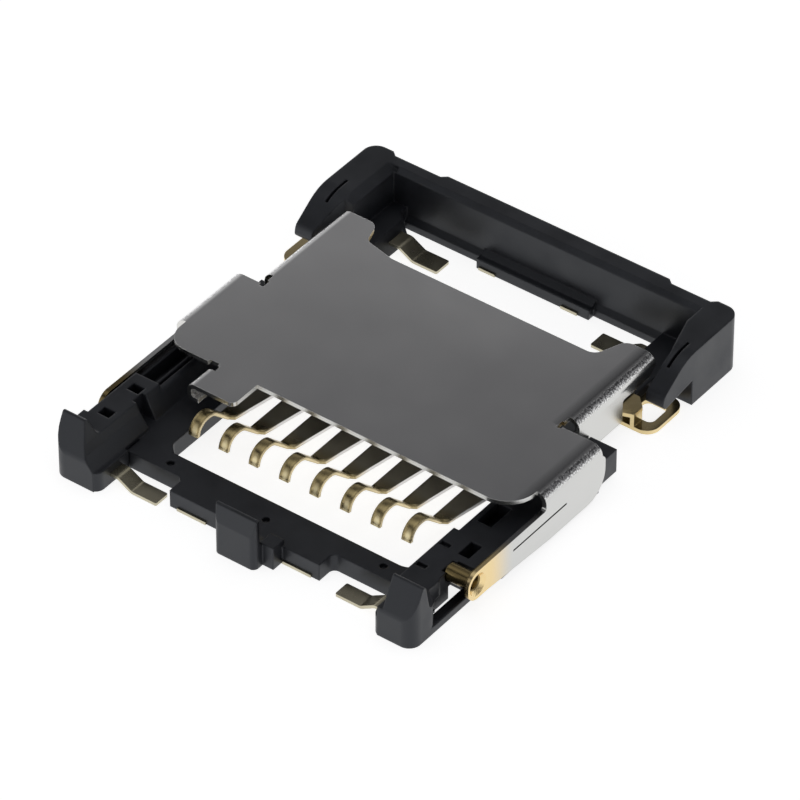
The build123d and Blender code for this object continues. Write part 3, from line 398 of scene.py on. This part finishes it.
# Floor, lamps and room
studio = {
    "floorSize": 0.6,
    "floorDrop": 0.004 * mm,
    "floorColour": (0.5, 0.5, 0.503),
    "floorGlow": 0.84,
    "white": (1.0, 1.0, 1.0),
    # name, place, power and size of each lamp, all aimed at the middle of the part
    "lamps": [
        ("overheadLamp", (-0.02, 0.02, 0.22), 0.065, 0.25),
        ("frontLamp", (-0.16, -0.14, 0.12), 0.015, 0.12),
    ],
    # room's shade from straight down, 0, to straight up, 1
    "shades": [
        (0.0, (0.95, 0.95, 0.95)),
        (0.56, (0.95, 0.95, 0.95)),
        (0.68, (0.5, 0.5, 0.505)),
        (0.76, (0.21, 0.21, 0.215)),
        (0.825, (0.16, 0.16, 0.165)),
        (0.87, (0.04, 0.04, 0.042)),
        (0.93, (0.03, 0.03, 0.032)),
        (0.97, (0.4, 0.4, 0.4)),
    ],
}
scene = bpy.context.scene
scene.view_settings.view_transform = "Standard"


def addToScene(name, data):
    item = bpy.data.objects.new(name, data)
    scene.collection.objects.link(item)
    return item


def turnTowards(item, direction):
    item.rotation_mode = "QUATERNION"
    item.rotation_quaternion = direction.to_track_quat("-Z", "Y")


def makeFloor():
    half = studio["floorSize"] / 2
    mesh = bpy.data.meshes.new("floor")
    corners = [(-half, -half, 0), (half, -half, 0), (half, half, 0), (-half, half, 0)]
    mesh.from_pydata(corners, [], [(0, 1, 2, 3)])
    floor = addToScene("floor", mesh)
    floor.location.z = -studio["floorDrop"]
    material = bpy.data.materials.new("paleFloor")
    tree = emptyTree(material)
    # White for the camera and in reflections, while it still takes the object's shadow
    path = addNode(tree, "ShaderNodeLightPath")
    seen = combine(tree, "MAXIMUM", path.outputs["Is Camera Ray"], path.outputs["Is Glossy Ray"])
    seen = combine(tree, "MAXIMUM", seen, path.outputs["Is Transmission Ray"])
    strength = times(tree, seen, studio["floorGlow"])
    glow = addNode(tree, "ShaderNodeEmission", {"Color": studio["white"], "Strength": strength})
    matt = addNode(tree, "ShaderNodeBsdfDiffuse", {"Color": studio["floorColour"]})
    both = addNode(tree, "ShaderNodeAddShader", {0: matt.outputs[0], 1: glow.outputs[0]})
    addNode(tree, "ShaderNodeOutputMaterial", {"Surface": both.outputs[0]})
    mesh.materials.append(material)


def makeRoom():
    world = bpy.data.worlds.new("room")
    scene.world = world
    tree = emptyTree(world)
    height = spread(tree, split(tree, coordinates(tree)["Generated"])["Z"], -1.0, 1.0)
    room = addNode(tree, "ShaderNodeBackground", {"Color": ramp(tree, height, studio["shades"])})
    white = addNode(tree, "ShaderNodeBackground", {"Color": studio["white"]})
    path = addNode(tree, "ShaderNodeLightPath")
    inputs = {0: path.outputs["Is Camera Ray"], 1: room.outputs[0], 2: white.outputs[0]}
    mixed = addNode(tree, "ShaderNodeMixShader", inputs)
    addNode(tree, "ShaderNodeOutputWorld", {"Surface": mixed.outputs[0]})


def makeLamp(name, place, power, size):
    light = bpy.data.lights.new(name, "AREA")
    light.shape = "SQUARE"
    light.size = size
    light.energy = power
    lamp = addToScene(name, light)
    lamp.location = place
    turnTowards(lamp, -Vector(place))


makeFloor()
makeRoom()
for lamp in studio["lamps"]:
    makeLamp(*lamp)
print("floor, room and lamps ready")


# Camera at the photograph's angle, with a long lens as in the photograph
shot = {
    "azimuth": 37.0,
    "elevation": 39.8,
    "distance": 204.9 * mm,
    "focal": 7000,  # in pixels of the frame
    "frame": 800,
    "sensor": 36.0,
    "target": (-0.235 * mm, 0.636 * mm, 0.0),
    "nearest": 0.01,
    "furthest": 5.0,
}


def makeCamera():
    turn = math.radians(shot["azimuth"])
    lift = math.radians(shot["elevation"])
    back = Vector((math.sin(turn) * math.cos(lift), -math.cos(turn) * math.cos(lift), math.sin(lift)))
    lens = bpy.data.cameras.new("camera")
    lens.sensor_width = shot["sensor"]
    lens.lens = shot["sensor"] * shot["focal"] / shot["frame"]
    lens.clip_start = shot["nearest"]
    lens.clip_end = shot["furthest"]
    camera = addToScene("camera", lens)
    camera.location = Vector(shot["target"]) + back * shot["distance"]
    turnTowards(camera, -back)
    scene.camera = camera


makeCamera()
print("camera ready")
